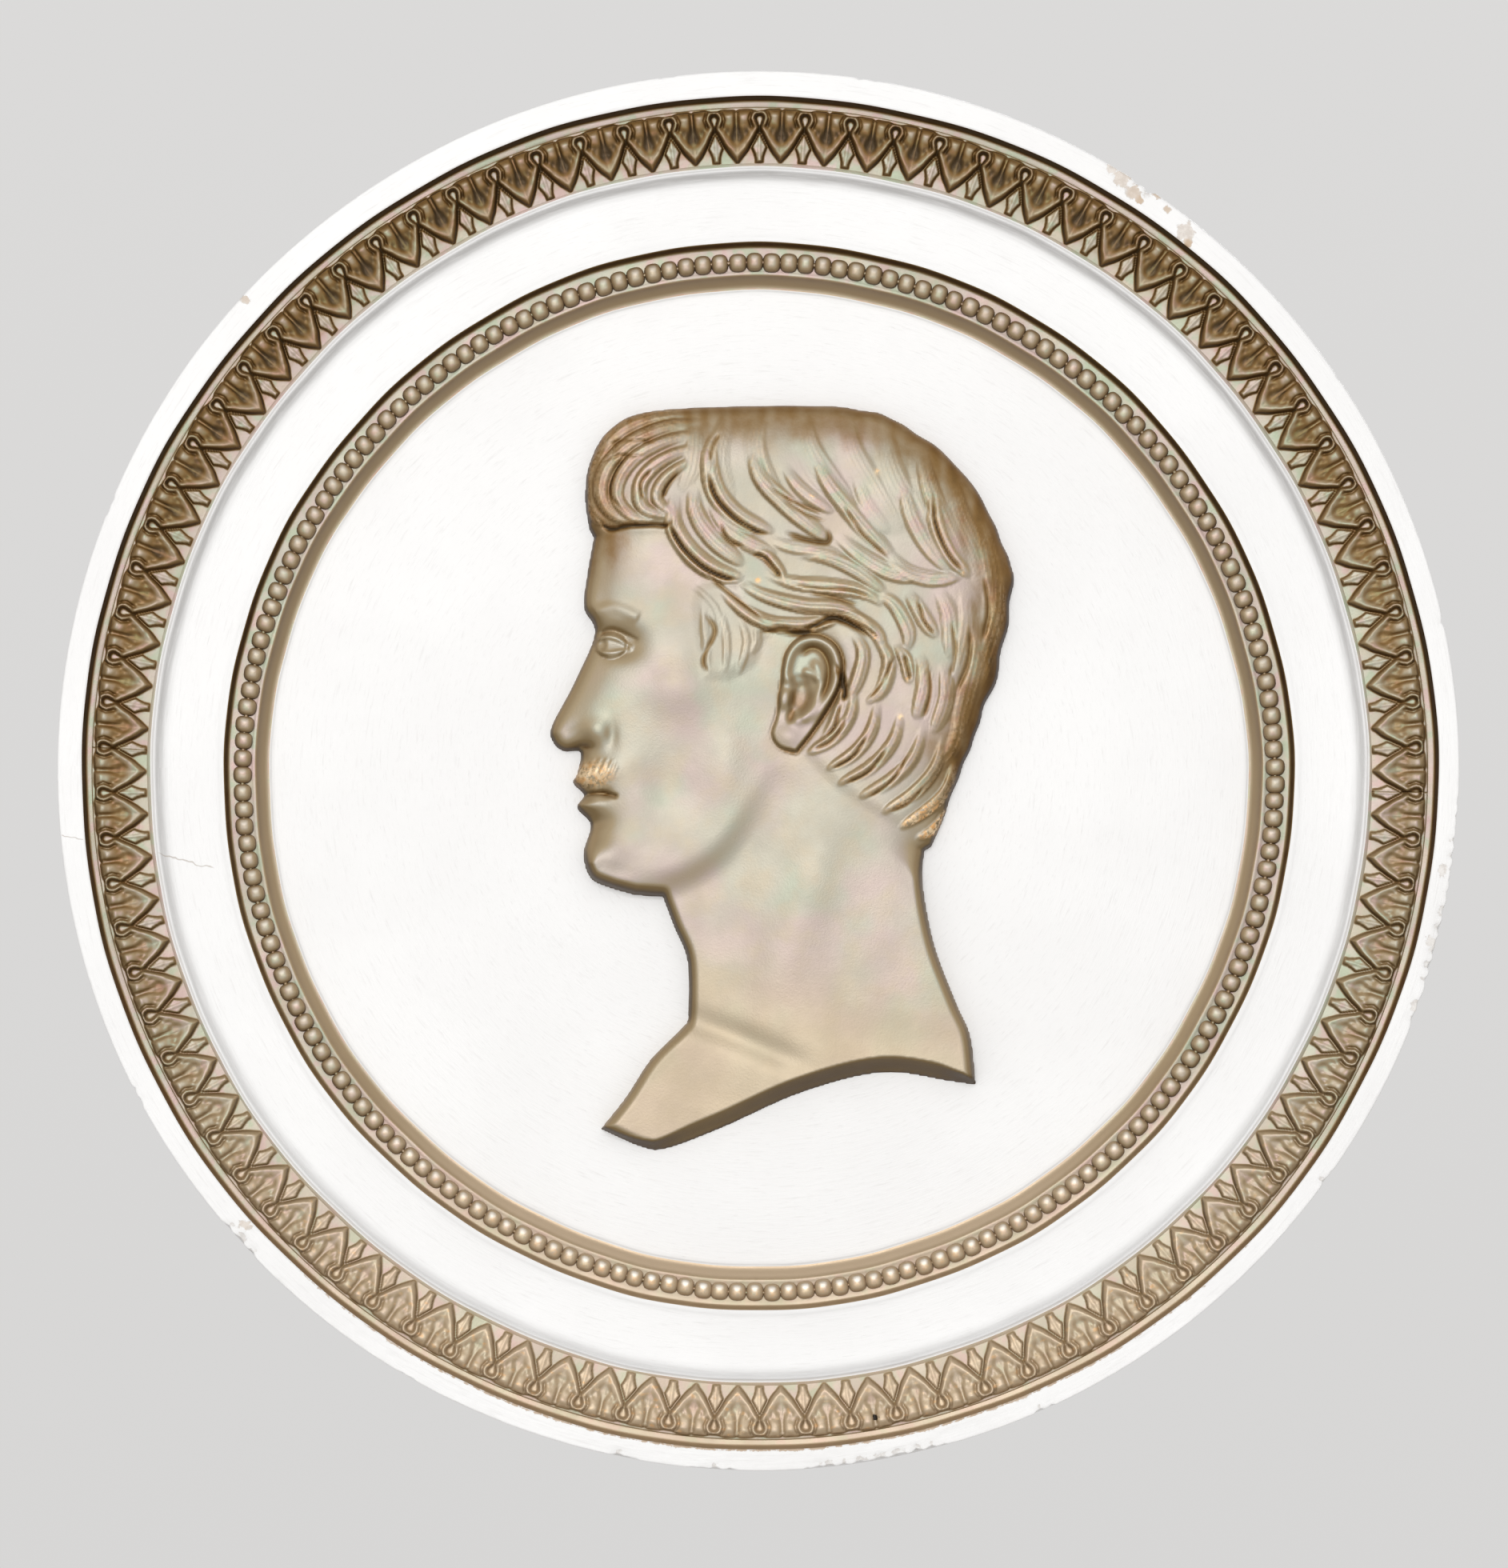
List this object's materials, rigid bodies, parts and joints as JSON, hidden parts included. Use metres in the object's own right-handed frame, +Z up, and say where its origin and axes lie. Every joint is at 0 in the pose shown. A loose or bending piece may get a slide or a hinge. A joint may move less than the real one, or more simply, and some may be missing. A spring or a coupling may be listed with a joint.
{
  "type": "plaster wall relief",
  "caption": "Round white plaster wall roundel with a leaf-and-dart rim, a beaded inner ring and a bronze-painted portrait head in low relief.",
  "frame": {"origin": "centre of the flat back face, where the roundel lies on the wall", "axes": "+Z up, -Y out of the wall toward the viewer, +X to the viewer's right"},
  "size_m": [0.5, 0.035, 0.5],
  "materials": {
    "painted_plaster": "matt white paint on cast plaster",
    "bronze_paint": "satin pearly bronze paint"
  },
  "bodies": {
    "root": {"roundel": "painted_plaster"}
  },
  "joints": []
}
